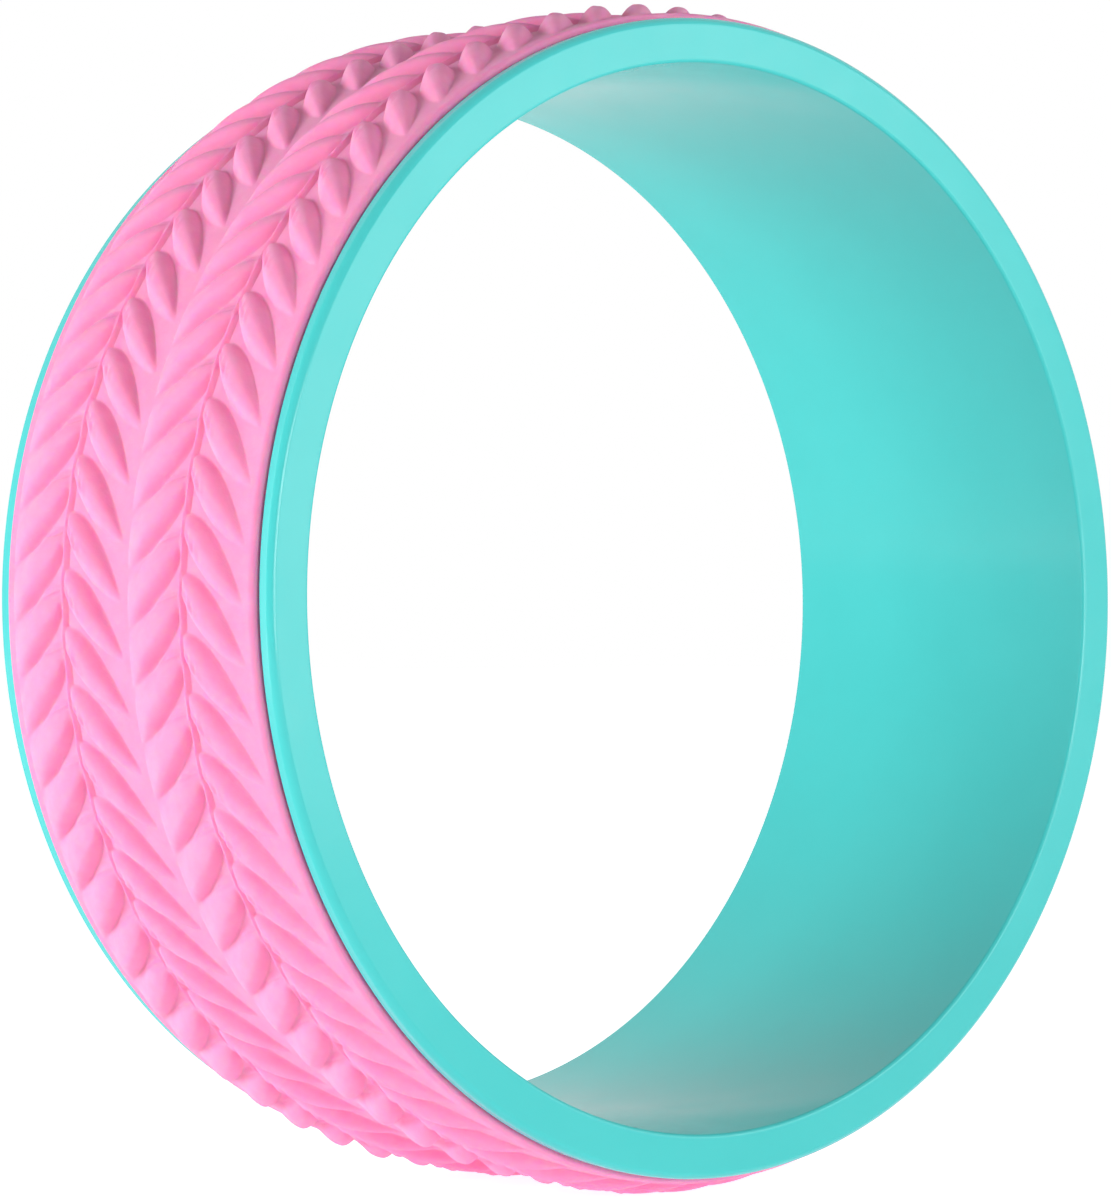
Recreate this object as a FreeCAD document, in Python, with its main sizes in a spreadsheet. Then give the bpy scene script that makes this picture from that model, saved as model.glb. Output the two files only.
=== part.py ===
"""Yoga wheel: a moulded plastic ring with a groove, and a foam tread bonded into the groove.

The wheel's axle line is Y and its middle is the origin, with the front face towards -Y. The tread carries
two braids side by side. A braid is a low stem that runs round the wheel, with a row of leaf-shaped ribs on
either side that slant away from it.
"""
import FreeCAD, Part
import enum
import math
import os

import Sketcher

# Driving sizes in millimetres, counts, and shares of a named size.
SIZES = (
    ("bore_radius", 148.1, "inside wall of the ring"),
    ("wall_thickness", 7.9, "bore to the groove's floor"),
    ("groove_depth", 4.0, "groove's floor to the flange outside"),
    ("ring_width", 120.0, "front face to rear face"),
    ("flange_width", 4.8, "thickness of an end flange along the axle line"),
    ("face_bevel", 1.7, "eased outer edge of a flange's face"),
    ("lip_bevel", 0.5, "eased edge of a flange beside the tread"),
    ("bore_bevel", 1.4, "eased edges of the bore"),
    ("glue_thickness", 0.3, "bond between the groove's floor and the tread"),
    ("seat_gap", 0.1, "play between the bond's outside and the tread's hole"),
    ("tread_gap", 0.2, "play between the tread's edge and the flange"),
    ("tread_rise", 2.3, "plain tread surface above the flange outside"),
    ("tread_bevel", 1.5, "eased outer edges of the tread"),
    ("tread_flat_count", 44, "flats round the plain tread surface"),
    ("edge_margin", 3.4, "tread's edge to the tips of the outer leaves"),
    ("middle_margin", 0.8, "wheel's middle plane to the tips of the inner leaves"),
    ("stem_width", 2.4, "foot of a stem"),
    ("stem_rise", 1.2, "top of a stem above the plain tread"),
    ("stem_top_share", 0.6, "stem's top width as a share of its foot"),
    ("leaf_count", 66, "leaves in one row round the wheel"),
    ("leaf_drop", 25.6, "leaf length round the wheel"),
    ("leaf_half_width", 4.6, "half width of a leaf at its root"),
    ("leaf_rise", 4.2, "leaf crest above the plain tread"),
    ("leaf_root", 0.95, "depth of a leaf's root below the plain tread"),
    ("leaf_bed", 1.0, "how far a leaf goes on below its root, inside the tread"),
    ("rear_outer_phase_share", 0.320, "middle of that row's first leaf, as a share of the pitch"),
    ("rear_inner_phase_share", 0.662, "middle of that row's first leaf, as a share of the pitch"),
    ("front_inner_phase_share", 0.216, "middle of that row's first leaf, as a share of the pitch"),
    ("front_outer_phase_share", 0.554, "middle of that row's first leaf, as a share of the pitch"),
)

# Stations along a leaf as shares of its half length, each with the share of its full section there.
STATION_SHARES = ((-0.97, 0.06), (-0.36, 1), (0.36, 1), (0.97, 0.06))
# The arch of a leaf's section as shares of its half width and of its height.
ARCH_SHARES = ((-1, 0), (-0.45, 1), (0.45, 1), (1, 0))


class SketchPoint(enum.IntEnum):
    """A line's start and end, and a sketch's own origin, as a sketch numbers them."""

    START = 1
    END = 2
    ORIGIN = -1


# Formulas that more than one piece shares.
FLOOR = "Sizes.bore_radius + Sizes.wall_thickness"
TREAD_EDGE = "(Sizes.ring_width / 2 - Sizes.flange_width - Sizes.tread_gap)"


def fill_sheet(doc):
    """Put every driving size in a sheet, one aliased cell each."""
    sheet = doc.addObject("Spreadsheet::Sheet", "Sizes")
    for row, (alias, number, meaning) in enumerate(SIZES, start=1):
        sheet.set(f"A{row}", meaning)
        sheet.set(f"B{row}", str(number))
        sheet.setAlias(f"B{row}", alias)
    doc.recompute()
    return sheet


def origin_part(body, role):
    """The plane or axis of a body's own origin that has this role."""
    return next(part for part in body.Origin.OriginFeatures if part.Role == role)


def outline(body, name, support, corners):
    """A closed outline with straight sides on a plane, each corner tied to the sheet by a pair of formulas.

    The outline starts as a regular polygon, and its formulas then pull it into shape.
    """
    sketch = body.newObject("Sketcher::SketchObject", name)
    sketch.AttachmentSupport = (support, [""])
    sketch.MapMode = "FlatFace"
    count = len(corners)
    turns = [2 * math.pi * index / count for index in range(count)]
    polygon = [FreeCAD.Vector(math.cos(turn), math.sin(turn), 0) for turn in turns]
    for index in range(count):
        sketch.addGeometry(Part.LineSegment(polygon[index], polygon[(index + 1) % count]))
    for index in range(count):
        ends = (index, SketchPoint.END, (index + 1) % count, SketchPoint.START)
        sketch.addConstraint(Sketcher.Constraint("Coincident", *ends))
    for index, formulas in enumerate(corners):
        span = (SketchPoint.ORIGIN, SketchPoint.START, index, SketchPoint.START)
        for kind, formula in zip(("DistanceX", "DistanceY"), formulas):
            place = sketch.addConstraint(Sketcher.Constraint(kind, *span, 1.0))
            sketch.setExpression(f"Constraints[{place}]", formula)
    return sketch


def turned(doc, label, half):
    """A body turned once round the axle line.

    half holds the corners of the rear half of its outline, as formulas of the radius and of the place along
    the axle line. The front half mirrors it.
    """
    body = doc.addObject("PartDesign::Body", label)
    body.Label = label
    corners = half + [(radius, f"-({place})") for radius, place in reversed(half)]
    sketch = outline(body, f"{label}_profile", origin_part(body, "XY_Plane"), corners)
    ring = body.newObject("PartDesign::Revolution", f"{label}_turn")
    ring.Profile = sketch
    ring.ReferenceAxis = (sketch, ["V_Axis"])
    ring.Angle = 360.0
    doc.recompute()
    return body


def make_core_ring(doc):
    """The ring: a plain bore, two end flanges with eased edges and the groove between them."""
    bore = "Sizes.bore_radius"
    rim = f"{FLOOR} + Sizes.groove_depth"
    face = "Sizes.ring_width / 2"
    lip = f"{face} - Sizes.flange_width"
    half = [
        (bore, f"{face} - Sizes.bore_bevel"),
        (f"{bore} + Sizes.bore_bevel", face),
        (f"{rim} - Sizes.face_bevel", face),
        (rim, f"{face} - Sizes.face_bevel"),
        (rim, f"{lip} + Sizes.lip_bevel"),
        (f"{rim} - Sizes.lip_bevel", lip),
        (FLOOR, lip),
    ]
    return turned(doc, "core_ring", half)


def make_glue_film(doc):
    """The thin bond on the groove's floor, as wide as the tread."""
    half = [(FLOOR, TREAD_EDGE), (f"{FLOOR} + Sizes.glue_thickness", TREAD_EDGE)]
    return turned(doc, "glue_film", half)


def plane_faced(rings, closed):
    """A solid whose sides run in plane steps from each ring of points to the next.

    A closed row of rings runs back to its first one. An open row is capped at both ends.
    """
    faces = []
    pairs = list(zip(rings, rings[1:]))
    if closed:
        pairs.append((rings[-1], rings[0]))
    else:
        faces = [Part.Face(Part.makePolygon(ring + ring[:1])) for ring in (rings[0], rings[-1])]
    for near, far in pairs:
        for index, corner in enumerate(near):
            before = index - 1
            side = [near[before], corner, far[index], far[before], near[before]]
            faces.append(Part.Face(Part.makePolygon(side)))
    shell = Part.makeShell(faces)
    shell.sewShape()
    if Part.makeSolid(shell).Volume < 0:
        shell.reverse()
    return Part.makeSolid(shell)


def plain_radius(sheet):
    """Radius of the plain tread surface, halfway between the middles of its flats and their corners."""
    return sheet.bore_radius + sheet.wall_thickness + sheet.groove_depth + sheet.tread_rise


def tread_edge(sheet):
    """Half the tread's width."""
    return sheet.ring_width / 2 - sheet.flange_width - sheet.tread_gap


def leaf_reach(sheet):
    """Length of a leaf along the axle line: four of them and the margins fill the tread's width."""
    return (tread_edge(sheet) - sheet.edge_margin - sheet.middle_margin) / 2


def stem_place(sheet):
    """Distance of a stem from the wheel's middle plane."""
    return sheet.middle_margin + leaf_reach(sheet)


def tread_band(sheet):
    """The band with its two stems, still filled inwards as far as the ring's bore."""
    plain = plain_radius(sheet)
    edge = tread_edge(sheet)
    stem = stem_place(sheet)
    foot = sheet.stem_width / 2
    crown = foot * sheet.stem_top_share
    half = [
        (sheet.bore_radius, edge),
        (plain - sheet.tread_bevel, edge),
        (plain, edge - sheet.tread_bevel),
        (plain, stem + foot),
        (plain + sheet.stem_rise, stem + crown),
        (plain + sheet.stem_rise, stem - crown),
        (plain, stem - foot),
    ]
    profile = half + [(radius, -place) for radius, place in reversed(half)]
    flats = int(sheet.tread_flat_count)
    corner_ratio = (1 + 1 / math.cos(math.pi / flats)) / 2
    rings = []
    for index in range(flats):
        turn = 2 * math.pi * index / flats
        out = FreeCAD.Vector(math.cos(turn), 0, -math.sin(turn)) * corner_ratio
        rings.append([out * radius + FreeCAD.Vector(0, place, 0) for radius, place in profile])
    return plane_faced(rings, closed=True)


def leaf_solid(sheet, stem, side):
    """One leaf on the +X side, from its stem outwards along Y by side and upwards.

    Its section is an arch of flats on a straight foot, largest in the middle and drawn in to both tips.
    """
    out = FreeCAD.Vector(1, 0, 0)
    run = FreeCAD.Vector(0, side * leaf_reach(sheet), sheet.leaf_drop)
    across = FreeCAD.Vector(run).normalize().cross(out)
    middle = out * (plain_radius(sheet) - sheet.leaf_root)
    middle += FreeCAD.Vector(0, stem + side * leaf_reach(sheet) / 2, 0)
    height = sheet.leaf_root + sheet.leaf_rise
    rings = []
    for place_share, section_share in STATION_SHARES:
        centre = middle + run * (place_share / 2)
        wide = across * (sheet.leaf_half_width * section_share)
        tall = out * (height * section_share)
        arch = [centre + wide * width_share + tall * up_share for width_share, up_share in ARCH_SHARES]
        foot = [arch[-1] - out * sheet.leaf_bed, arch[0] - out * sheet.leaf_bed]
        rings.append(arch + foot)
    return plane_faced(rings, closed=False)


def leaf_row(sheet, stem, side, phase_share):
    """All leaves of one row, evenly spaced round the wheel."""
    first = leaf_solid(sheet, stem, side)
    count = int(sheet.leaf_count)
    leaves = []
    for index in range(count):
        leaf = first.copy()
        leaf.rotate(FreeCAD.Vector(), FreeCAD.Vector(0, 1, 0), 360 * (index + phase_share) / count)
        leaves.append(leaf)
    return Part.makeCompound(leaves)


def make_tread_pad(doc, sheet):
    """The tread: a band with a hole for the ring, two stems and four rows of leaves."""
    band = doc.addObject("Part::Feature", "tread_band")
    band.Shape = tread_band(sheet)
    hole = doc.addObject("Part::Cylinder", "tread_hole")
    hole.Placement = FreeCAD.Placement(FreeCAD.Vector(), FreeCAD.Rotation(FreeCAD.Vector(1, 0, 0), 90))
    hole.setExpression("Radius", f"{FLOOR} + Sizes.glue_thickness + Sizes.seat_gap")
    hole.setExpression("Height", "Sizes.ring_width")
    hole.setExpression("Placement.Base.y", "Sizes.ring_width / 2")
    holed = doc.addObject("Part::Cut", "tread_band_holed")
    holed.Base = band
    holed.Tool = hole
    holed.Refine = False
    stem = stem_place(sheet)
    rows = (
        ("rear_outer_leaves", stem, 1, sheet.rear_outer_phase_share),
        ("rear_inner_leaves", stem, -1, sheet.rear_inner_phase_share),
        ("front_inner_leaves", -stem, 1, sheet.front_inner_phase_share),
        ("front_outer_leaves", -stem, -1, sheet.front_outer_phase_share),
    )
    leaves = []
    for name, place, side, phase_share in rows:
        row = doc.addObject("Part::Feature", name)
        row.Shape = leaf_row(sheet, place, side, phase_share)
        leaves.append(row)
    doc.recompute()
    tread = doc.addObject("Part::Feature", "tread_pad")
    tread.Label = "tread_pad"
    tread.Shape = holed.Shape.multiFuse([row.Shape for row in leaves])
    return tread


def check(doc, pieces):
    """Stop if any object failed or any piece isn't one valid solid."""
    for item in doc.Objects:
        if "Invalid" in item.State or "Error" in item.State:
            raise RuntimeError(f"{item.Name} failed: {item.State}")
    for piece in pieces:
        shape = piece.Shape
        if shape.isNull() or not shape.isValid() or len(shape.Solids) != 1:
            raise RuntimeError(f"{piece.Label} is not one valid solid")


def main():
    doc = FreeCAD.newDocument("yoga_wheel")
    sheet = fill_sheet(doc)
    pieces = [make_core_ring(doc), make_glue_film(doc), make_tread_pad(doc, sheet)]
    check(doc, pieces)
    os.makedirs("parts", exist_ok=True)
    for piece in pieces:
        piece.Shape.exportStep(f"parts/{piece.Label}.step")
        print(piece.Label, f"{piece.Shape.Volume / 1000:.1f} cm3")


main()
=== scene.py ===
"""Yoga wheel: a glossy turquoise hoop with a soft pink tread in a braided leaf relief.

The axle line is Y, the wheel's middle is the origin and the front face looks towards -Y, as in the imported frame.
Sizes are in metres. An angle round the wheel is zero at -X and grows upwards there.
"""

import logging
import math
from dataclasses import dataclass
from enum import Enum

import bpy
import numpy as np
from mathutils import Matrix, Vector

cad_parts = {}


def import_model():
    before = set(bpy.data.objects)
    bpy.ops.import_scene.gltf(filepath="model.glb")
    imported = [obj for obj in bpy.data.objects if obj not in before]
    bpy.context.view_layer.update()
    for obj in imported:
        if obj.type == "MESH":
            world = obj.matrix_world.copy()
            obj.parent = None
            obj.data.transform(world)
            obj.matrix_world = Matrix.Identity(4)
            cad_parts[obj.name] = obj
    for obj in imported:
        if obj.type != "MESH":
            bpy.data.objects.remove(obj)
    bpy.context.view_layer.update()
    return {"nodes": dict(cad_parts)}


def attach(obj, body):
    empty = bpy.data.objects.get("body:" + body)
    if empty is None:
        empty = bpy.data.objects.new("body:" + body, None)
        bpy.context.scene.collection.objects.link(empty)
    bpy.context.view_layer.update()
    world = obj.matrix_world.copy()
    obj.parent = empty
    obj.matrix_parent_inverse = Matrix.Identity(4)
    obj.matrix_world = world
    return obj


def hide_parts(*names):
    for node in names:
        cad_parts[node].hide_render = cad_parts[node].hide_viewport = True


LOG = logging.getLogger("yoga_wheel")
MM = 0.001

Pair = tuple[float, float]
Triple = tuple[float, float, float]

WHITE = (1.0, 1.0, 1.0, 1.0)
# Spans of a noise value that are carried to a whole span: the first gives clearer clouds than the second.
CLEAR_CLOUDS: Pair = (0.35, 0.65)
SOFT_CLOUDS: Pair = (0.3, 0.7)


@dataclass(frozen=True)
class Window:
    """A stretch along a leaf, faded in and out, in shares of the way from the stem to the tail.

    Attributes:
        start: where the stretch begins.
        fade_in: length over which it grows to one.
        end: where the stretch ends.
        fade_out: length over which it sinks to zero.
    """

    start: float
    fade_in: float
    end: float
    fade_out: float

    def at(self, share: np.ndarray) -> np.ndarray:
        """The product of a ramp up from the start and a ramp down to the end, both held between zero and one.

        Args:
            share: shares of the way from the stem to the tail.

        Returns:
            The strength at each share.
        """
        ramp_up = np.clip((share - self.start) / self.fade_in, 0, 1)
        return ramp_up * np.clip((self.end - share) / self.fade_out, 0, 1)


@dataclass(frozen=True)
class LeafForm:
    """The shape of a leaf.

    Attributes:
        upper_scale: drop of the upper edge at the tail, as a share of the leaf's drop.
        upper_power: power by which the upper edge drops on the way out from the stem.
        lower_scale: drop of the lower edge at the tail, as a share of the leaf's drop.
        lower_power: power by which the lower edge drops on the way out from the stem.
        tail_power: power by which the crest sinks to the tail; less than one keeps the tail full.
        crest_share: way from the edge where the leaf rises to its crest, as a share of the leaf's depth.
        rise_crown: power of the share of the way up to the crest; a higher one makes that side fuller.
        fall_reach: way from the edge where the leaf rises to the end of its other side, as a share of its depth.
        fall_power: power by which the side beyond the crest falls; less than one gives it a crisp foot.
        open_start: share out from the stem beyond which that side runs on to the next leaf; at one it never does.
    """

    upper_scale: float
    upper_power: float
    lower_scale: float
    lower_power: float
    tail_power: float
    crest_share: float
    rise_crown: float
    fall_reach: float
    fall_power: float
    open_start: float


REAR_LEANING = LeafForm(
    upper_scale=0.78,
    upper_power=2.1,
    lower_scale=1.0,
    lower_power=0.5,
    tail_power=0.9,
    crest_share=0.40,
    rise_crown=2.4,
    fall_reach=1.14,
    fall_power=1.35,
    open_start=0.15,
)
FRONT_LEANING = LeafForm(
    upper_scale=0.92,
    upper_power=1.9,
    lower_scale=0.96,
    lower_power=0.54,
    tail_power=1.2,
    crest_share=0.56,
    rise_crown=2.7,
    fall_reach=1.24,
    fall_power=1.2,
    open_start=1.0,
)


class BraidRow(Enum):
    """The four rows of leaves.

    Attributes:
        braid: side of the wheel's middle plane, along Y, on which the row's stem runs.
        lean: direction along Y in which the leaves leave the stem.
        start_share: place of the first leaf's stem end, as a share of the pitch.
        form: shape of the row's leaves.
    """

    REAR_OUTER = (1, 1, 0.126)
    REAR_INNER = (1, -1, 0.468)
    FRONT_INNER = (-1, 1, 0.022)
    FRONT_OUTER = (-1, -1, 0.360)

    def __init__(self, braid: int, lean: int, start_share: float) -> None:
        """Give a row its values by name.

        Args:
            braid: side of the row's stem along Y.
            lean: direction of the leaves along Y.
            start_share: place of the first leaf.
        """
        self.braid = braid
        self.lean = lean
        self.start_share = start_share
        self.form = REAR_LEANING if lean > 0 else FRONT_LEANING


def ring_faces(around: int, across: int) -> np.ndarray:
    """Quads of a grid that closes both round the wheel and round its section.

    Args:
        around: number of columns round the wheel.
        across: number of points in one section.

    Returns:
        Corner numbers, one row for each quad, with point number = column * across + place in the section.
    """
    column, place = np.meshgrid(np.arange(around), np.arange(across), indexing="ij")
    next_column = (column + 1) % around
    next_place = (place + 1) % across
    corners = [
        column * across + place,
        column * across + next_place,
        next_column * across + next_place,
        next_column * across + place,
    ]
    return np.stack(corners, axis=-1).reshape(-1, 4)


def smooth_mesh(name: str, points: np.ndarray, faces: np.ndarray) -> bpy.types.Object:
    """Make a smooth-shaded object at the origin from whole arrays of points and quads.

    Args:
        name: name of the object and of its mesh.
        points: coordinates in metres, one row for each point.
        faces: corner numbers, one row of four for each quad.

    Returns:
        The new object, linked to the scene.
    """
    mesh = bpy.data.meshes.new(name)
    mesh.vertices.add(len(points))
    mesh.vertices.foreach_set("co", points.astype(np.float32).ravel())
    mesh.loops.add(faces.size)
    mesh.loops.foreach_set("vertex_index", faces.astype(np.int32).ravel())
    mesh.polygons.add(len(faces))
    mesh.polygons.foreach_set("loop_start", np.arange(0, faces.size, 4, dtype=np.int32))
    mesh.polygons.foreach_set("use_smooth", np.ones(len(faces), dtype=bool))
    mesh.update(calc_edges=True)
    mesh.validate()
    piece = bpy.data.objects.new(name, mesh)
    bpy.context.scene.collection.objects.link(piece)
    return piece


def arc(
    centre: Pair, radius: float, start: float, end: float, steps: int, fullness: float = 1.0
) -> np.ndarray:
    """Points on an arc: centre plus radius times a power of the cosine and sine of an even run of angles.

    Args:
        centre: middle of the arc.
        radius: radius of the arc.
        start: first angle in degrees.
        end: last angle in degrees.
        steps: number of segments.
        fullness: the power, one for a circle and more for an arc that is flatter in its middle.

    Returns:
        One row of two coordinates for each point.
    """
    turn = np.radians(np.linspace(start, end, steps + 1))
    unit = np.stack([np.cos(turn), np.sin(turn)], axis=1)
    return np.array(centre) + radius * np.sign(unit) * np.abs(unit) ** fullness


def map_range(
    tree: bpy.types.NodeTree, value: bpy.types.NodeSocket, source: Pair, target: Pair
) -> bpy.types.NodeSocket:
    """Carry a value from one span of numbers to another, held at both ends.

    Args:
        tree: the node tree to add to.
        value: the value to carry.
        source: the span that it comes from.
        target: the span that it goes to.

    Returns:
        The carried value.
    """
    node = tree.nodes.new("ShaderNodeMapRange")
    for socket, number in zip(("From Min", "From Max", "To Min", "To Max"), (*source, *target)):
        node.inputs[socket].default_value = number
    tree.links.new(value, node.inputs["Value"])
    return node.outputs["Result"]


@dataclass(frozen=True)
class Cloud:
    """Cloudy noise on a piece's own coordinates.

    Attributes:
        scale: number of clouds in a metre.
        detail: number of finer layers.
        rough: strength of the finer layers.
    """

    scale: float
    detail: float = 2.0
    rough: float = 0.5


@dataclass(frozen=True)
class Grain:
    """A bump from cloudy noise.

    Attributes:
        cloud: the noise.
        depth: what a noise of one stands for, in metres.
        strength: how much of the bump shows.
    """

    cloud: Cloud
    depth: float
    strength: float


class NodeBoard:
    """A short way to write a material's node tree."""

    def __init__(self, name: str) -> None:
        """Start a material with one principled shader on its output.

        Args:
            name: name of the material.
        """
        self.material = bpy.data.materials.new(name)
        self.material.use_nodes = True
        self.tree = self.material.node_tree
        self.tree.nodes.clear()
        self.shader = self.tree.nodes.new("ShaderNodeBsdfPrincipled")
        output = self.tree.nodes.new("ShaderNodeOutputMaterial")
        self.tree.links.new(self.shader.outputs["BSDF"], output.inputs["Surface"])
        self.place = self.tree.nodes.new("ShaderNodeTexCoord").outputs["Object"]

    def feed(self, source: bpy.types.NodeSocket, socket: str) -> None:
        """Join an output to one of the shader's inputs.

        Args:
            source: the output.
            socket: name of the shader's input.
        """
        self.tree.links.new(source, self.shader.inputs[socket])

    def set(self, socket: str, value: float | tuple[float, ...]) -> None:
        """Set one of the shader's inputs to a constant.

        Args:
            socket: name of the shader's input.
            value: the constant.
        """
        self.shader.inputs[socket].default_value = value

    def noise(self, cloud: Cloud) -> bpy.types.NodeSocket:
        """Cloudy noise on the piece's own coordinates.

        Args:
            cloud: the noise.

        Returns:
            The noise value, around one half.
        """
        node = self.tree.nodes.new("ShaderNodeTexNoise")
        node.inputs["Scale"].default_value = cloud.scale
        node.inputs["Detail"].default_value = cloud.detail
        node.inputs["Roughness"].default_value = cloud.rough
        self.tree.links.new(self.place, node.inputs["Vector"])
        return node.outputs["Fac"]

    def span(self, value: bpy.types.NodeSocket, source: Pair, target: Pair = (0.0, 1.0)) -> bpy.types.NodeSocket:
        """Carry a value from one span of numbers to another, held at both ends.

        Args:
            value: the value to carry.
            source: the span that it comes from.
            target: the span that it goes to.

        Returns:
            The carried value.
        """
        return map_range(self.tree, value, source, target)

    def blend(self, share: bpy.types.NodeSocket, first: Triple, second: Triple) -> bpy.types.NodeSocket:
        """Mix two colours by a share from zero to one.

        Args:
            share: amount of the second colour.
            first: colour at zero.
            second: colour at one.

        Returns:
            The mixed colour.
        """
        node = self.tree.nodes.new("ShaderNodeMix")
        node.data_type = "RGBA"
        node.inputs[6].default_value = (*first, 1.0)
        node.inputs[7].default_value = (*second, 1.0)
        self.tree.links.new(share, node.inputs["Factor"])
        return node.outputs[2]

    def bump(self, grain: Grain) -> None:
        """Let a grain stand out of the surface, on top of any bump that is already there.

        Args:
            grain: the bump.
        """
        node = self.tree.nodes.new("ShaderNodeBump")
        node.inputs["Strength"].default_value = grain.strength
        node.inputs["Distance"].default_value = grain.depth
        self.tree.links.new(self.noise(grain.cloud), node.inputs["Height"])
        target = self.shader.inputs["Normal"]
        if target.is_linked:
            self.tree.links.new(target.links[0].from_socket, node.inputs["Normal"])
        self.tree.links.new(node.outputs["Normal"], target)


@dataclass(frozen=True)
class GlossyMoulding:
    """Turquoise injection-moulded plastic: shiny, with the faint ripple and rub of a moulded wall.

    Attributes:
        colour: main tone.
        worn_colour: tone of the paler clouds.
        tone: clouds between the two tones.
        roughness: middle roughness.
        roughness_shares: least and greatest roughness, as shares of the middle one.
        rub: clouds between the least and the greatest roughness.
        refraction: index of refraction.
        ripple: low waves of the wall.
    """

    colour: Triple = (0.046, 0.562, 0.548)
    worn_colour: Triple = (0.050, 0.574, 0.560)
    tone: Cloud = Cloud(28.0, 3.0)
    roughness: float = 0.18
    roughness_shares: Pair = (0.8, 1.3)
    rub: Cloud = Cloud(90.0, 4.0, 0.6)
    refraction: float = 1.48
    ripple: Grain = Grain(Cloud(45.0, 1.0), 0.15 * MM, 0.25)

    def material(self) -> bpy.types.Material:
        """Clouds of a slightly paler tone, uneven gloss and a very low ripple.

        Returns:
            The finished material.
        """
        board = NodeBoard("glossy_moulding")
        tone = board.span(board.noise(self.tone), CLEAR_CLOUDS)
        board.feed(board.blend(tone, self.colour, self.worn_colour), "Base Color")
        low, high = self.roughness_shares
        gloss = board.span(board.noise(self.rub), SOFT_CLOUDS, (self.roughness * low, self.roughness * high))
        board.feed(gloss, "Roughness")
        board.set("IOR", self.refraction)
        board.bump(self.ripple)
        return board.material


@dataclass(frozen=True)
class SoftFoam:
    """Pink moulded foam: dull, with a fine skin texture and slightly uneven dye.

    Attributes:
        colour: main tone.
        pale_colour: tone of the paler clouds.
        dye: clouds between the two tones.
        roughness: middle roughness.
        roughness_shares: least and greatest roughness, as shares of the middle one.
        skin: clouds between the least and the greatest roughness.
        refraction: index of refraction.
        specular_level: strength of the mirror reflection.
        scatter: share of the light that scatters inside.
        scatter_shares: depth of the scattered red, green and blue, as shares of the scatter depth.
        scatter_depth: depth to which light scatters.
        pinches: small pinch marks.
        pores: fine pebbled skin.
    """

    colour: Triple = (0.87, 0.292, 0.505)
    pale_colour: Triple = (0.89, 0.316, 0.535)
    dye: Cloud = Cloud(160.0, 4.0, 0.6)
    roughness: float = 0.7
    roughness_shares: Pair = (0.92, 1.08)
    skin: Cloud = Cloud(700.0, 2.0)
    refraction: float = 1.4
    specular_level: float = 0.25
    scatter: float = 0.9
    scatter_shares: Triple = (0.7, 0.12, 0.36)
    scatter_depth: float = 3.0 * MM
    pinches: Grain = Grain(Cloud(420.0, 3.0, 0.55), 0.30 * MM, 0.35)
    pores: Grain = Grain(Cloud(1900.0, 2.0, 0.6), 0.08 * MM, 0.4)

    def material(self) -> bpy.types.Material:
        """Clouds of paler dye, light that scatters inside, small pinch marks and a fine pebbled skin.

        Returns:
            The finished material.
        """
        board = NodeBoard("soft_foam")
        dye = board.span(board.noise(self.dye), CLEAR_CLOUDS)
        board.feed(board.blend(dye, self.colour, self.pale_colour), "Base Color")
        low, high = self.roughness_shares
        skin = board.span(board.noise(self.skin), SOFT_CLOUDS, (self.roughness * low, self.roughness * high))
        board.feed(skin, "Roughness")
        board.set("IOR", self.refraction)
        board.set("Specular IOR Level", self.specular_level)
        board.set("Subsurface Weight", self.scatter)
        board.set("Subsurface Radius", self.scatter_shares)
        board.set("Subsurface Scale", self.scatter_depth)
        board.bump(self.pinches)
        board.bump(self.pores)
        return board.material


@dataclass(frozen=True)
class DriedBond:
    """Cream contact adhesive that has dried in brush marks.

    Attributes:
        colour: tone of the thin places.
        dark_colour: tone of the thick places.
        tone: clouds between the two tones.
        roughness: roughness all over.
        brush_marks: coarse bump.
    """

    colour: Triple = (0.72, 0.68, 0.55)
    dark_colour: Triple = (0.62, 0.57, 0.44)
    tone: Cloud = Cloud(220.0, 4.0)
    roughness: float = 0.5
    brush_marks: Grain = Grain(Cloud(350.0, 3.0), 0.1 * MM, 0.5)

    def material(self) -> bpy.types.Material:
        """Uneven cream tone with a coarse bump.

        Returns:
            The finished material.
        """
        board = NodeBoard("dried_bond")
        board.feed(board.blend(board.noise(self.tone), self.colour, self.dark_colour), "Base Color")
        board.set("Roughness", self.roughness)
        board.bump(self.brush_marks)
        return board.material


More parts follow.
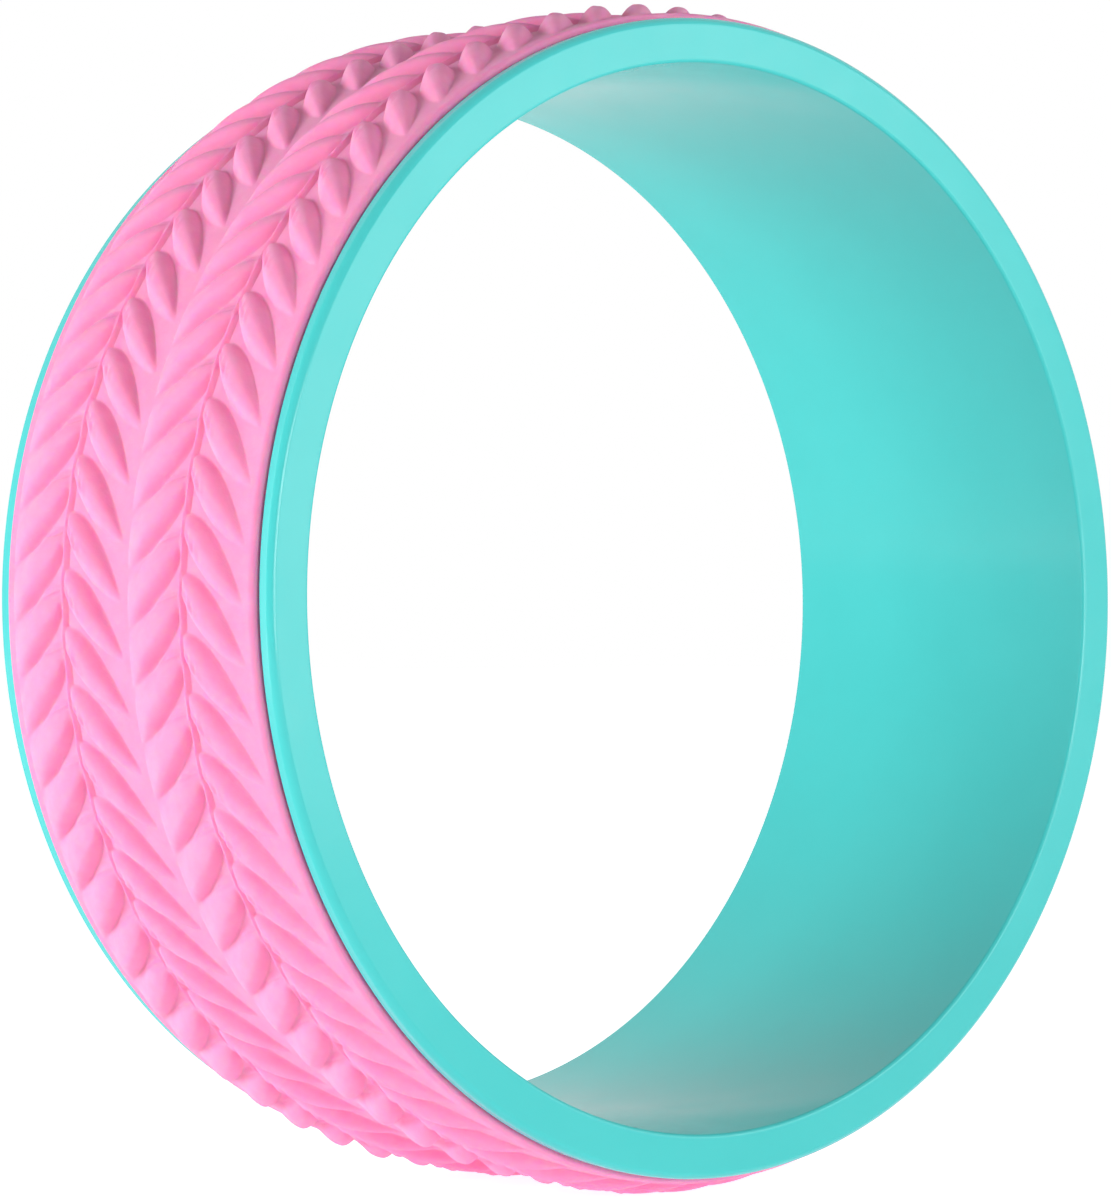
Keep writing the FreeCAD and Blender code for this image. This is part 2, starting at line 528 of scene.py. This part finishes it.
@dataclass
class Hoop:
    """The moulded ring: a plain bore, two end flanges and the groove that holds the tread.

    Attributes:
        finish: the ring's plastic.
        bore_radius: radius of the bore's wall.
        rim_radius: radius of the flanges' outside.
        floor_radius: radius of the groove's floor.
        half_width: half of the ring's width.
        flange_width: thickness of a flange.
        front_fillet: rounding between the front face and its rim.
        rear_fillet: rounding between the rear face and its rim.
        lip_fillet: rounding between a rim and the groove's side.
        bore_fillet: rounding between the bore and a face.
        support: distance from a rounding to the point that keeps the shading of the flat beside it even.
        wall_points: number of points along half of the bore's wall.
        bore_steps: number of segments in a bore's rounding.
        face_steps: number of segments in a face's rounding.
        face_fullness: power of a face's rounding, more than one for a flatter middle.
        lip_steps: number of segments in a lip's rounding.
        columns: number of sections round the wheel.
    """

    finish: GlossyMoulding = GlossyMoulding()
    bore_radius: float = 148.1 * MM
    rim_radius: float = 160.5 * MM
    floor_radius: float = 156.0 * MM
    half_width: float = 60.0 * MM
    flange_width: float = 4.8 * MM
    front_fillet: float = 2.0 * MM
    rear_fillet: float = 0.9 * MM
    lip_fillet: float = 0.6 * MM
    bore_fillet: float = 1.0 * MM
    support: float = 0.12 * MM
    wall_points: int = 12
    bore_steps: int = 8
    face_steps: int = 14
    face_fullness: float = 1.25
    lip_steps: int = 6
    columns: int = 720

    def half_section(self, fillet: float) -> np.ndarray:
        """Rear half of the section, from the bore's middle out over the rear flange to the groove's middle.

        Args:
            fillet: size of the rounding between the face and the rim.

        Returns:
            One row of radius and place along Y for each point.
        """
        face, rim, bore, floor = self.half_width, self.rim_radius, self.bore_radius, self.floor_radius
        bore_round, lip_round, support = self.bore_fillet, self.lip_fillet, self.support
        lip = face - self.flange_width
        wall = np.linspace(0.0, face - bore_round - support, self.wall_points)
        bore_wall = np.stack([np.full(self.wall_points, bore), wall], axis=1)
        bore_edge = arc((bore + bore_round, face - bore_round), bore_round, 180, 90, self.bore_steps)
        face_flat = np.array([[bore + bore_round + support, face], [rim - fillet - support, face]])
        face_edge = arc((rim - fillet, face - fillet), fillet, 90, 0, self.face_steps, self.face_fullness)
        rim_flat = np.array([[rim, face - fillet - support], [rim, lip + lip_round + support]])
        lip_edge = arc((rim - lip_round, lip + lip_round), lip_round, 0, -90, self.lip_steps)
        lip_wall = np.array([[rim - lip_round - support, lip], [floor + support, lip]])
        groove = np.array([[floor, lip], [floor, lip - support], [floor, lip / 2]])
        runs = [bore_wall, bore_edge, face_flat, face_edge, rim_flat, lip_edge, lip_wall, groove]
        return np.concatenate(runs)

    def build(self) -> bpy.types.Object:
        """Turn the section once round the axle line: x and z are the radius times minus cosine and sine.

        Returns:
            The ring's object.
        """
        rear = self.half_section(self.rear_fillet)
        front = self.half_section(self.front_fillet)[:0:-1] * np.array([1.0, -1.0])
        section = np.concatenate([rear, front])
        turn = np.linspace(0.0, 2 * np.pi, self.columns, endpoint=False)
        radius, place = section[:, 0], section[:, 1]
        x = -np.cos(turn)[:, None] * radius
        z = np.sin(turn)[:, None] * radius
        y = np.broadcast_to(place, x.shape)
        points = np.stack([x, y, z], axis=-1).reshape(-1, 3)
        return smooth_mesh("hoop", points, ring_faces(self.columns, len(section)))

    def dress(self, piece: bpy.types.Object) -> None:
        """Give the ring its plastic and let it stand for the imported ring.

        Args:
            piece: the ring's object.
        """
        piece.data.materials.append(self.finish.material())
        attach(piece, "root")
        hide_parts("core_ring")


@dataclass
class BondFilm:
    """The bond under the tread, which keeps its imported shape.

    Attributes:
        finish: the bond's look.
    """

    finish: DriedBond = DriedBond()

    def dress(self, piece: bpy.types.Object) -> None:
        """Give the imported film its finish.

        Args:
            piece: the film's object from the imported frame.
        """
        piece.data.materials.clear()
        piece.data.materials.append(self.finish.material())


@dataclass
class BraidedTread:
    """The foam tread: a band with two stems round it and four rows of leaf-shaped ribs.

    The columns of its grid lean with the leaves, so a leaf's length runs along them. Drops are measured round the
    wheel, down from a leaf's end at the stem, and shares run from zero at the stem to one at the tail.

    Attributes:
        finish: the tread's foam.
        hole_radius: radius of the band's inside.
        plain_radius: radius of the surface that the leaves stand on.
        half_width: half of the band's width.
        shoulder_fillet: rounding of the band's outer edges.
        shoulder_steps: number of segments in a shoulder's rounding.
        stem_place: distance of each stem from the wheel's middle plane.
        stem_front_half: width of a stem's front side.
        stem_rear_half: width of a stem's rear side.
        stem_rise: height of a stem.
        stem_sink: how far a stem's parabola goes on below the plain surface, in rises of the stem.
        stem_sway: way that a stem sways to either side.
        sway_phase: place of the sway's foremost point below a leaf's start, as a share of the pitch.
        leaf_count: number of leaves in a row.
        leaf_reach: reach of a leaf along Y.
        leaf_drop: reach of a leaf round the wheel.
        leaf_rise: height of a leaf's crest.
        least_depth: depth of a leaf at the stem.
        open_span: share over which a leaf opens.
        open_depth_share: least depth by which an opened leaf's crest is placed, as a share of the pitch.
        rise_power: power by which the side up to the crest rises.
        fall_crown: power of the share of the way down from the crest; a higher one makes that side fuller.
        full_share: share at which a leaf is highest.
        head_power: power by which a leaf rises from the stem.
        foot_blend: softness of the blend between stems and leaves.
        fold_drop: drop of a fold's line at the tail.
        fold_power: power by which a fold's line drops.
        crease_depth: depth of a crease.
        crease_width: half width of a crease.
        crease_stretch: stretch of a leaf that has a crease.
        dent_depth_share: depth of a dent, as a share of a crease's.
        dent_width_share: half width of a dent, as a share of a crease's.
        dent_stretch: stretch of a leaf that has a dent.
        knuckle_depth: height of the knuckles.
        knuckle_step: distance from knuckle to knuckle along a leaf.
        knuckle_place: middle of the knuckles across a leaf, with the crest at one.
        knuckle_width: half width of the knuckles across a leaf, with the crest at one.
        knuckle_stretch: stretch of a leaf that has knuckles.
        columns_in_pitch: number of sections in a pitch.
        row_step: distance from point to point across the outer wall.
    """

    finish: SoftFoam = SoftFoam()
    hole_radius: float = 156.4 * MM
    plain_radius: float = 162.3 * MM
    half_width: float = 54.3 * MM
    shoulder_fillet: float = 1.3 * MM
    shoulder_steps: int = 7
    stem_place: float = 26.2 * MM
    stem_front_half: float = 0.45 * MM
    stem_rear_half: float = 1.40 * MM
    stem_rise: float = 1.50 * MM
    stem_sink: float = 2.0
    stem_sway: float = 0.30 * MM
    sway_phase: float = 0.7
    leaf_count: int = 66
    leaf_reach: float = 24.6 * MM
    leaf_drop: float = 24.9 * MM
    leaf_rise: float = 4.1 * MM
    least_depth: float = 0.3 * MM
    open_span: float = 0.35
    open_depth_share: float = 0.80
    rise_power: float = 0.9
    fall_crown: float = 2.4
    full_share: float = 0.45
    head_power: float = 0.6
    foot_blend: float = 0.22 * MM
    fold_drop: float = 10.2 * MM
    fold_power: float = 1.6
    crease_depth: float = 0.70 * MM
    crease_width: float = 0.42 * MM
    crease_stretch: Window = Window(0.03, 0.06, 0.46, 0.12)
    dent_depth_share: float = 0.5
    dent_width_share: float = 1.8
    dent_stretch: Window = Window(0.42, 0.08, 0.72, 0.14)
    knuckle_depth: float = 0.50 * MM
    knuckle_step: float = 4.6 * MM
    knuckle_place: float = 1.15
    knuckle_width: float = 0.3
    knuckle_stretch: Window = Window(0.06, 0.08, 0.50, 0.15)
    columns_in_pitch: int = 34
    row_step: float = 0.55 * MM

    def pitch(self) -> float:
        """Distance from leaf to leaf: the plain surface's way round over the number of leaves.

        Returns:
            The distance round the wheel.
        """
        return 2 * np.pi * self.plain_radius / self.leaf_count

    def section(self) -> np.ndarray:
        """The band's section, from the rear over the outer wall to the front and back along the hole.

        Returns:
            One row of radius and place along Y for each point; the outer wall's points come first.
        """
        outer = self.outer_places()
        outer_wall = np.stack([np.full(outer.size, self.plain_radius), outer], axis=1)
        fillet, edge = self.shoulder_fillet, self.half_width
        shoulder = arc((self.plain_radius - fillet, edge - fillet), fillet, 0, 90, self.shoulder_steps)[1:]
        hole = np.array([[self.hole_radius, -edge], [self.hole_radius, 0.0], [self.hole_radius, edge]])
        return np.concatenate([outer_wall, shoulder * np.array([1.0, -1.0]), hole, shoulder[::-1]])

    def outer_places(self) -> np.ndarray:
        """Even places along Y for the outer wall, from the rear shoulder to the front one.

        Returns:
            The places, the rear one first.
        """
        edge = self.half_width - self.shoulder_fillet
        count = int(round(edge / self.row_step))
        return np.linspace(edge, -edge, 2 * count + 1)

    def column_lean(self, place: np.ndarray) -> np.ndarray:
        """How far a column has dropped round the wheel: the leaves' slope times the distance from the stem.

        Args:
            place: places along Y.

        Returns:
            The drop along the plain surface at each place.
        """
        away = np.abs(np.abs(place) - self.stem_place)
        return away * (self.leaf_drop / self.leaf_reach)

    def leaf_height(self, row: BraidRow, turn: np.ndarray, place: np.ndarray) -> np.ndarray:
        """Height of one row's leaves over the plain surface.

        Each of a leaf's two edges drops by a scale times a power of the share out from the stem. The leaves that
        lean to the rear rise from the lower edge to the crest and fall to the upper one, the others rise from the
        upper edge. Each side is a power of one minus a power of the share of the way. Where a leaf opens, by a
        smooth step of the share, the side beyond its crest runs on to the next leaf. A leaf rises fast from the
        stem and sinks to nothing at the tail.

        Args:
            row: the row of leaves.
            turn: angles round the wheel.
            place: places along Y.

        Returns:
            The height at every point.
        """
        form, pitch = row.form, self.pitch()
        share = np.clip(row.lean * (place - row.braid * self.stem_place) / self.leaf_reach, 0.0, 1.0)
        upper = form.upper_scale * self.leaf_drop * share**form.upper_power
        lower = form.lower_scale * self.leaf_drop * share**form.lower_power
        drop = row.start_share * pitch - turn * self.plain_radius
        inward = np.mod(lower - drop if row.lean > 0 else drop - upper, pitch)
        depth = lower - upper + self.least_depth
        opened = np.clip((share - form.open_start) / self.open_span, 0.0, 1.0)
        opened = opened**2 * (3 - 2 * opened)
        extra_depth = np.maximum(self.open_depth_share * pitch - depth, 0.0)
        crest_place = form.crest_share * (depth + opened * extra_depth)
        reach = form.fall_reach * depth * (1 - opened) + pitch * opened
        rising = 1 - np.minimum(inward / crest_place, 1.0)
        falling = np.clip((inward - crest_place) / (reach - crest_place), 0.0, 1.0)
        rising_side = (1 - rising**form.rise_crown) ** self.rise_power
        arch = rising_side * (1 - falling**self.fall_crown) ** form.fall_power
        full = self.full_share
        head = (1 - (1 - np.minimum(share, full) / full) ** 2) ** self.head_power
        tail = (1 - (np.maximum(share - full, 0.0) / (1 - full)) ** 2) ** form.tail_power
        height = self.leaf_rise * head * tail * arch
        if row.lean > 0:
            return height + self.folds(share, drop)
        return height + self.knuckles(share, inward / crest_place)

    def folds(self, share: np.ndarray, drop: np.ndarray) -> np.ndarray:
        """Folds beside the leaves that lean to the rear: a thin crease near the stem and a wider dent beyond it.

        Each is minus its depth times a bell over the distance from the fold's line, faded in and out along the
        leaf. The line drops by a power of the share out from the stem.

        Args:
            share: share of the way out from the stem to the tail.
            drop: distance round the wheel below the leaf's start.

        Returns:
            The height to add.
        """
        pitch = self.pitch()
        beside = np.mod(drop - self.fold_drop * share**self.fold_power + pitch / 2, pitch) - pitch / 2
        crease = np.exp(-((beside / self.crease_width) ** 2)) * self.crease_stretch.at(share)
        dent_width = self.dent_width_share * self.crease_width
        dent = np.exp(-((beside / dent_width) ** 2)) * self.dent_stretch.at(share)
        return -self.crease_depth * (crease + self.dent_depth_share * dent)

    def knuckles(self, share: np.ndarray, rise: np.ndarray) -> np.ndarray:
        """Low knuckles across the crests of the leaves that lean to the front.

        They are a cosine along the leaf times a bell across it, faded in and out along the leaf.

        Args:
            share: share of the way out from the stem to the tail.
            rise: distance from the edge where the leaf rises, over the crest's distance from it.

        Returns:
            The height to add.
        """
        on_crest = np.exp(-(((rise - self.knuckle_place) / self.knuckle_width) ** 2))
        length = math.hypot(self.leaf_reach, self.leaf_drop)
        wave = np.cos(share * length / self.knuckle_step * 2 * np.pi)
        return self.knuckle_depth * wave * on_crest * self.knuckle_stretch.at(share)

    def stem_height(self, turn: np.ndarray, place: np.ndarray) -> np.ndarray:
        """Height of the two stems: a parabola over a line that sways by a cosine, steeper on its front side.

        Args:
            turn: angles round the wheel.
            place: places along Y.

        Returns:
            The height at every point, negative away from the stems.
        """
        start = np.where(place > 0, BraidRow.REAR_INNER.start_share, BraidRow.FRONT_OUTER.start_share)
        phase = start - turn * self.leaf_count / (2 * np.pi)
        sway = self.stem_sway * np.cos(2 * np.pi * (phase - self.sway_phase))
        line = np.sign(place) * self.stem_place - sway
        half = np.where(place < line, self.stem_front_half, self.stem_rear_half)
        return self.stem_rise * np.maximum(1 - ((place - line) / half) ** 2, -self.stem_sink)

    def relief(self, turn: np.ndarray, place: np.ndarray) -> np.ndarray:
        """Height of stems and leaves over the plain surface, blended softly into each other.

        The blend adds to the leaves half of the stems' lead plus the root of the lead's square and the blend's.

        Args:
            turn: angles round the wheel.
            place: places along Y.

        Returns:
            The height at every point.
        """
        stems = self.stem_height(turn, place)
        leaves = sum(self.leaf_height(row, turn, place) for row in BraidRow)
        lead, soft = stems - leaves, self.foot_blend
        return leaves + 0.5 * (lead + np.sqrt(lead**2 + soft**2))

    def build(self) -> bpy.types.Object:
        """Carry the section round the wheel and raise its outer wall by the relief.

        Returns:
            The tread's object.
        """
        section = self.section()
        columns = self.leaf_count * self.columns_in_pitch
        turn = np.linspace(0.0, 2 * np.pi, columns, endpoint=False)[:, None]
        turn = turn - self.column_lean(section[None, :, 1]) / self.plain_radius
        place = np.broadcast_to(section[:, 1], turn.shape)
        raised = np.arange(len(section)) < self.outer_places().size
        radius = section[:, 0] + self.relief(turn, place) * raised
        points = np.stack([-np.cos(turn) * radius, place, np.sin(turn) * radius], axis=-1)
        return smooth_mesh("braided_tread", points.reshape(-1, 3), ring_faces(columns, len(section)))

    def dress(self, piece: bpy.types.Object) -> None:
        """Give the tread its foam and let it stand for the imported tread.

        Args:
            piece: the tread's object.
        """
        piece.data.materials.append(self.finish.material())
        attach(piece, "root")
        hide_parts("tread_pad")


@dataclass(frozen=True)
class Lamp:
    """A soft lamp that looks at the wheel's middle.

    Attributes:
        name: name of the lamp.
        place: where it hangs.
        size: its width and height.
        watts: its power.
        mirrored: whether shiny faces show it.
        spread: whether it lights dull faces.
    """

    name: str
    place: Triple
    size: Pair
    watts: float
    mirrored: bool = True
    spread: bool = True

    def build(self) -> bpy.types.Object:
        """Hang the lamp.

        Returns:
            The lamp's object.
        """
        light = bpy.data.lights.new(self.name, "AREA")
        light.shape = "RECTANGLE"
        light.size, light.size_y = self.size
        light.energy = self.watts
        item = bpy.data.objects.new(self.name, light)
        item.location = self.place
        item.rotation_euler = Vector(self.place).to_track_quat("Z", "Y").to_euler()
        item.visible_glossy = self.mirrored
        item.visible_diffuse = self.spread
        bpy.context.scene.collection.objects.link(item)
        return item


@dataclass
class Studio:
    """The plain white room: floor, light and camera.

    Attributes:
        floor_place: height of the floor.
        floor_size: length of the floor's sides.
        floor_grey: brightness of the floor's own colour.
        floor_glow: glow of the floor where it is seen.
        floor_glow_unseen: glow of the floor for the light that it throws back.
        ambient_level: strength of the soft light from the sides and from below.
        ambient_above: strength of the soft light from straight above.
        lamps: the soft lamps.
        camera_place: where the camera stands.
        camera_right: the camera's direction to the right.
        camera_back: the direction from the view to the camera.
        lens: focal length in millimetres.
        sensor_width: width of the sensor in millimetres.
        clip_start: nearest distance that the camera shows.
    """

    floor_place: float = -166.7 * MM
    floor_size: float = 30.0
    floor_grey: float = 0.92
    floor_glow: float = 0.75
    floor_glow_unseen: float = 0.45
    ambient_level: float = 0.45
    ambient_above: float = 0.22
    lamps: tuple[Lamp, ...] = (
        Lamp("left_lamp", (-1.40, 0.58, 0.16), (0.75, 0.75), 17.0, mirrored=False),
        Lamp("edge_lamp", (-0.60, 0.35, 0.04), (0.20, 0.80), 1.1, spread=False),
        Lamp("front_lamp", (-0.45, -2.35, 0.15), (1.2, 1.2), 28.0),
        Lamp("right_lamp", (1.30, -2.10, 0.10), (1.4, 1.4), 15.0),
    )
    camera_place: Triple = (-0.81051, -0.89974, -0.01093)
    camera_right: Triple = (0.74753, -0.66423, 0.0)
    camera_back: Triple = (-0.66420, -0.74750, -0.00890)
    lens: float = 126.25
    sensor_width: float = 36.0
    clip_start: float = 0.01

    def white_where_seen(self, tree: bpy.types.NodeTree) -> bpy.types.NodeSocket:
        """One for rays from the camera, mirror rays and rays through clear things, else zero.

        Args:
            tree: the node tree to add to.

        Returns:
            The share of white to show.
        """
        path = tree.nodes.new("ShaderNodeLightPath")
        total = path.outputs["Is Camera Ray"]
        for name in ("Is Glossy Ray", "Is Transmission Ray"):
            node = tree.nodes.new("ShaderNodeMath")
            node.operation = "MAXIMUM"
            tree.links.new(total, node.inputs[0])
            tree.links.new(path.outputs[name], node.inputs[1])
            total = node.outputs[0]
        return total

    def build_world(self) -> None:
        """Soft light from all sides, weaker from above, and plain white wherever the room itself is seen."""
        world = bpy.data.worlds.new("white_room")
        bpy.context.scene.world = world
        world.use_nodes = True
        tree = world.node_tree
        tree.nodes.clear()
        light, white = (tree.nodes.new("ShaderNodeBackground") for _ in range(2))
        up = tree.nodes.new("ShaderNodeSeparateXYZ")
        tree.links.new(tree.nodes.new("ShaderNodeNewGeometry").outputs["Incoming"], up.inputs[0])
        strength = map_range(tree, up.outputs["Z"], (-1.0, 0.0), (self.ambient_above, self.ambient_level))
        tree.links.new(strength, light.inputs["Strength"])
        light.inputs["Color"].default_value = WHITE
        white.inputs["Strength"].default_value = 1.0
        white.inputs["Color"].default_value = WHITE
        mix = tree.nodes.new("ShaderNodeMixShader")
        output = tree.nodes.new("ShaderNodeOutputWorld")
        tree.links.new(self.white_where_seen(tree), mix.inputs[0])
        tree.links.new(light.outputs[0], mix.inputs[1])
        tree.links.new(white.outputs[0], mix.inputs[2])
        tree.links.new(mix.outputs[0], output.inputs["Surface"])

    def build_floor(self) -> bpy.types.Object:
        """A wide white floor under the wheel that keeps its shadow.

        Returns:
            The floor's object.
        """
        reach = self.floor_size / 2
        corners = np.array([[-1, -1, 0], [1, -1, 0], [1, 1, 0], [-1, 1, 0]], dtype=float) * reach
        corners[:, 2] = self.floor_place
        floor = smooth_mesh("floor", corners, np.array([[0, 1, 2, 3]]))
        board = NodeBoard("white_floor")
        board.set("Base Color", (self.floor_grey, self.floor_grey, self.floor_grey, 1.0))
        board.set("Roughness", 1.0)
        board.set("Specular IOR Level", 0.0)
        board.set("Emission Color", WHITE)
        seen = self.white_where_seen(board.tree)
        glow = board.span(seen, (0.0, 1.0), (self.floor_glow_unseen, self.floor_glow))
        board.feed(glow, "Emission Strength")
        floor.data.materials.append(board.material)
        return floor

    def build_camera(self) -> None:
        """The camera at the photograph's place, level and square to its view."""
        right, back = Vector(self.camera_right).normalized(), Vector(self.camera_back).normalized()
        up = back.cross(right)
        turn = Matrix((right, up, back)).transposed().to_4x4()
        camera = bpy.data.cameras.new("camera")
        camera.lens = self.lens
        camera.sensor_width = self.sensor_width
        camera.sensor_fit = "AUTO"
        camera.clip_start = self.clip_start
        item = bpy.data.objects.new("camera", camera)
        item.matrix_world = Matrix.Translation(self.camera_place) @ turn
        bpy.context.scene.collection.objects.link(item)
        bpy.context.scene.camera = item

    def build(self) -> None:
        """Set up the room."""
        bpy.context.scene.view_settings.view_transform = "Standard"
        self.build_world()
        self.build_floor()
        for lamp in self.lamps:
            lamp.build()
        self.build_camera()


def main() -> None:
    """Build the wheel piece by piece in its room."""
    logging.basicConfig(level=logging.INFO, format="%(name)s: %(message)s")
    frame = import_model()
    Studio().build()
    LOG.info("room, lamps and camera are set")
    hoop = Hoop()
    hoop_piece = hoop.build()
    hoop.dress(hoop_piece)
    LOG.info("hoop: %d faces", len(hoop_piece.data.polygons))
    BondFilm().dress(frame["nodes"]["glue_film"])
    LOG.info("bond film keeps its packed shape")
    tread = BraidedTread()
    tread_piece = tread.build()
    tread.dress(tread_piece)
    LOG.info("tread: %d faces", len(tread_piece.data.polygons))


if __name__ == "__main__":
    main()
